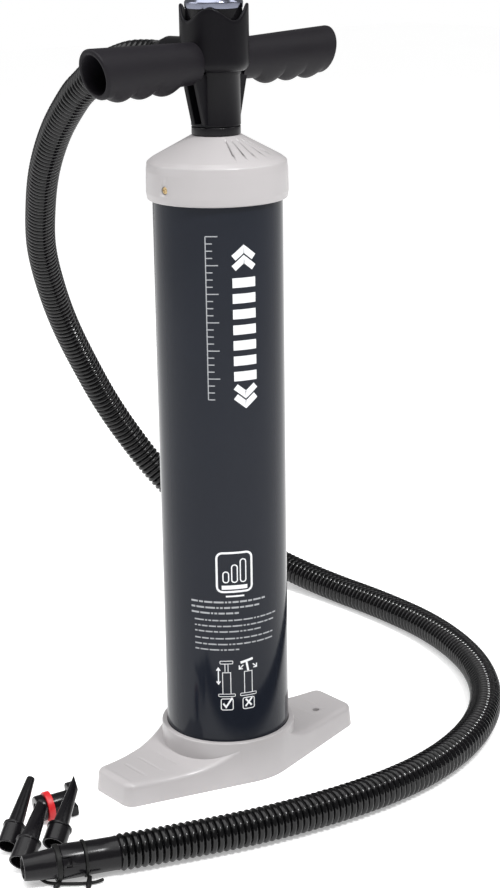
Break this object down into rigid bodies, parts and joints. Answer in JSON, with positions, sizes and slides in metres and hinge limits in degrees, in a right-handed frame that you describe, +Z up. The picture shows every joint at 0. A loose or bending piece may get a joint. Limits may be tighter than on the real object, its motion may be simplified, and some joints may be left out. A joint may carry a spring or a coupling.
{
  "type": "double action hand pump",
  "caption": "Upright double action hand pump with a two-armed foot, a T handle with a pressure gauge, a corrugated hose with a bayonet nozzle, and loose valve adapters.",
  "frame": {"origin": "on the barrel's axis, at the bottom of the foot, where the pump stands on the floor", "axes": "+Z up along the barrel and the pumping stroke, X along the length of the foot, +Y towards the side where the hose leaves the handle"},
  "size_m": [0.5124, 0.5395, 0.5531],
  "materials": {
    "grey_plastic": "satin warm grey moulded plastic",
    "slate_plastic": "glossy dark slate plastic tube",
    "dark_plastic": "satin black moulded plastic",
    "handle_plastic": "fine-textured black plastic",
    "hose_plastic": "glossy black corrugated plastic",
    "black_rubber": "matt black rubber",
    "red_rubber": "brick red silicone",
    "bright_rubber": "bright red rubber",
    "rod_metal": "smooth drawn tube",
    "screw_steel": "plated steel",
    "brass": "plain brass",
    "dial_white": "printed white card",
    "needle_paint": "red paint",
    "clear_lens": "clear window",
    "bezel_chrome": "bright plated ring"
  },
  "bodies": {
    "base": {"base_foot": "grey_plastic", "base_gasket": "black_rubber", "base_valve_pin": "dark_plastic", "barrel": "slate_plastic", "top_cap": "grey_plastic", "cap_gasket": "black_rubber", "cap_valve_plate": "dark_plastic", "cap_screws": "brass", "rod_guide": "dark_plastic", "guide_nut": "dark_plastic", "rod_seal": "black_rubber", "cone_adapter": "dark_plastic", "wide_adapter": "dark_plastic", "spike_adapter": "dark_plastic", "valve_adapter": "dark_plastic", "valve_washer": "bright_rubber"},
    "base_valve": {"base_valve_disc": "red_rubber"},
    "cap_valve": {"cap_valve_ring": "red_rubber"},
    "hose_set": {"hose": "hose_plastic", "hose_cuff_end": "hose_plastic", "nozzle_tether": "black_rubber"},
    "nozzle": {"nozzle": "dark_plastic"},
    "handle": {"handle_core": "handle_plastic", "left_grip": "handle_plastic", "right_grip": "handle_plastic", "piston_rod": "rod_metal", "piston_body": "dark_plastic", "piston_cover": "dark_plastic", "piston_seal_lower": "black_rubber", "piston_seal_upper": "black_rubber", "piston_screws": "screw_steel", "stroke_bumper": "black_rubber", "gauge_case": "dark_plastic", "gauge_tube": "brass", "gauge_dial": "dial_white", "gauge_lens": "clear_lens", "gauge_bezel": "bezel_chrome", "hose_cuff_top": "hose_plastic"},
    "piston_inlet": {"piston_valve_disc": "red_rubber"},
    "piston_outlet": {"piston_valve_ring": "red_rubber"},
    "needle": {"gauge_needle": "needle_paint"}
  },
  "joints": [
    {"name": "handle_turn", "type": "hinge", "parent": "base", "child": "hose_set", "pos_m": [0, 0, 0.4], "axis": [0, 0, 1], "range_deg": [0, 170]},
    {"name": "pump_stroke", "type": "slide", "parent": "hose_set", "child": "handle", "axis": [0, 0, 1], "range_m": [0, 0.38]},
    {"name": "nozzle_twist", "type": "hinge", "parent": "hose_set", "child": "nozzle", "pos_m": [-0.1634, -0.0867, 0.0125], "axis": [-0.9311, 0.3649, 0], "range_deg": [0, 40]},
    {"name": "needle_sweep", "type": "hinge", "parent": "handle", "child": "needle", "pos_m": [0, 0, 0.5475], "axis": [0, 0, -1], "range_deg": [0, 270], "stiffness_Nm_per_rad": 0.0005},
    {"name": "base_valve_lift", "type": "slide", "parent": "base", "child": "base_valve", "axis": [0, 0, 1], "range_m": [0, 0.0015]},
    {"name": "cap_valve_drop", "type": "slide", "parent": "base", "child": "cap_valve", "axis": [0, 0, -1], "range_m": [0, 0.0015], "stiffness_N_per_m": 200},
    {"name": "piston_inlet_lift", "type": "slide", "parent": "handle", "child": "piston_inlet", "axis": [0, 0, 1], "range_m": [0, 0.0015]},
    {"name": "piston_outlet_drop", "type": "slide", "parent": "handle", "child": "piston_outlet", "axis": [0, 0, -1], "range_m": [0, 0.0015], "stiffness_N_per_m": 200}
  ]
}
